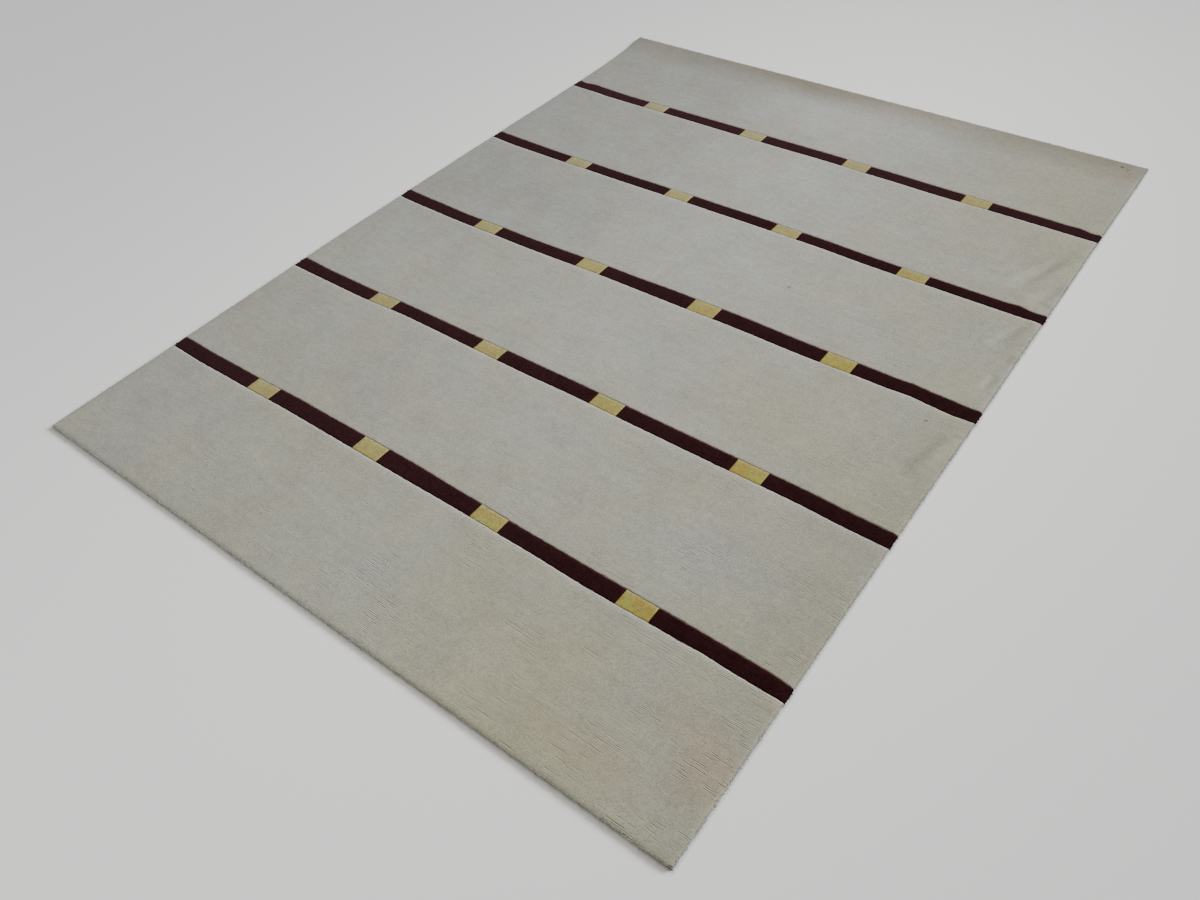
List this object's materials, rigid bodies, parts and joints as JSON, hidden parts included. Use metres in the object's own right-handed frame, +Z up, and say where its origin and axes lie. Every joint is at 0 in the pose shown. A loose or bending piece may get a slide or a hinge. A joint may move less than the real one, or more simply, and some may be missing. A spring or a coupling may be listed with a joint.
{
  "type": "nepalese rug",
  "caption": "Nepalese rug of hand-knotted wool lying flat: cream fields crossed by narrow stripes of burgundy bars and gold blocks, with carved lines round the colours.",
  "frame": {"origin": "on the floor, under the middle of the rug's flat underside", "axes": "+X to the right along the stripes, +Y along the rug's length from the front edge to the back edge, +Z up from the floor through the pile"},
  "size_m": [1.7, 2.2998, 0.017],
  "materials": {
    "cream_wool": "matt cut pile, cream wool",
    "burgundy_wool": "matt cut pile, burgundy wool",
    "gold_wool": "matt cut pile, gold wool"
  },
  "bodies": {
    "root": {"rug": "cream_wool"}
  },
  "joints": []
}
